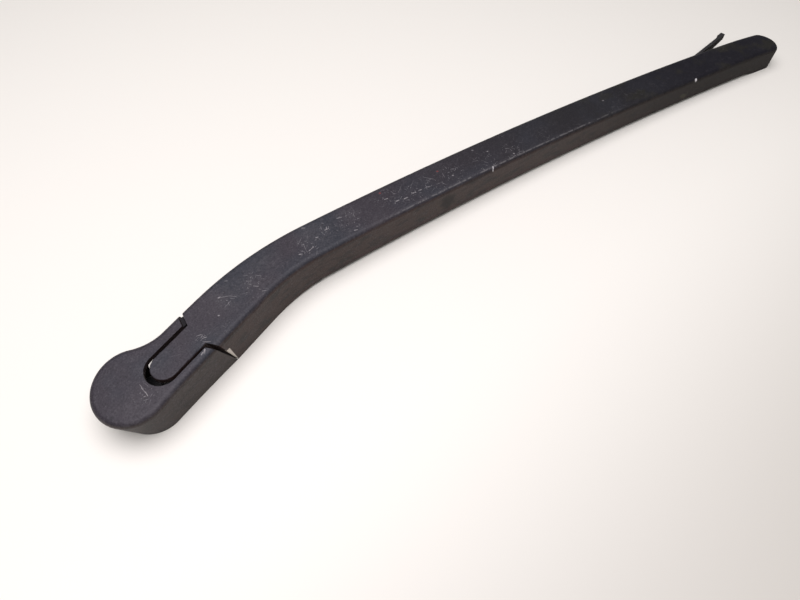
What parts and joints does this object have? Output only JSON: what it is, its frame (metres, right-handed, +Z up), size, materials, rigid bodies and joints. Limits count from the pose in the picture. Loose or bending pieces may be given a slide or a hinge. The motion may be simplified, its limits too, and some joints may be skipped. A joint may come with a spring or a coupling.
{
  "type": "wiper arm",
  "caption": "Bent black rear wiper arm with a flip-up head cover over its spindle casting, a sprung lifting joint, and a pin and release tab for the blade at its tip.",
  "frame": {"origin": "centre of the spindle bore at its mouth, level with the lower rim of the head", "axes": "+Z up along the spindle, away from the window; +X along the tongue towards the tip; the arm bends towards -Y"},
  "size_m": [0.4026, 0.1694, 0.0199],
  "materials": {
    "arm_plastic": "fine grain, satin, scuffed",
    "cover_plastic": "fine grain, satin, scuffed",
    "tab_plastic": "satin",
    "casting": "cast, black coating",
    "pin_steel": "turned",
    "spring_steel": "drawn wire and pressed strip"
  },
  "bodies": {
    "head": {"mounting_head": "casting", "hinge_pin": "pin_steel", "link_pin": "pin_steel"},
    "arm": {"arm_beam": "arm_plastic", "spring_anchor": "pin_steel", "blade_pin": "pin_steel", "tab_pin": "pin_steel", "tension_spring": "spring_steel"},
    "cover": {"head_cover": "cover_plastic"},
    "link": {"spring_link": "spring_steel"},
    "tab": {"release_tab": "tab_plastic"}
  },
  "joints": [
    {"name": "arm_lift", "type": "hinge", "parent": "head", "child": "arm", "pos_m": [0.021, -0.0056, 0.01225], "axis": [0, -1, 0], "range_deg": [0, 32], "stiffness_Nm_per_rad": 0.8, "springref_deg": -51.57, "deforming": ["tension_spring"]},
    {"name": "cover_flip", "type": "hinge", "parent": "head", "child": "cover", "pos_m": [0.021, -0.0056, 0.01225], "axis": [0, 1, 0], "range_deg": [0, 62]},
    {"name": "link_slide", "type": "slide", "parent": "arm", "child": "link", "axis": [1, 0, 0], "range_m": [-0.004, 0]},
    {"name": "tab_press", "type": "hinge", "parent": "arm", "child": "tab", "pos_m": [0.33706, -0.11337, 0.0074], "axis": [0, 0, -1], "range_deg": [0, 14.5], "stiffness_Nm_per_rad": 0.01, "springref_deg": -11.46}
  ],
  "couplings": [
    {"joint": "link_slide", "follows": "arm_lift", "m_per_rad": -0.00691}
  ]
}
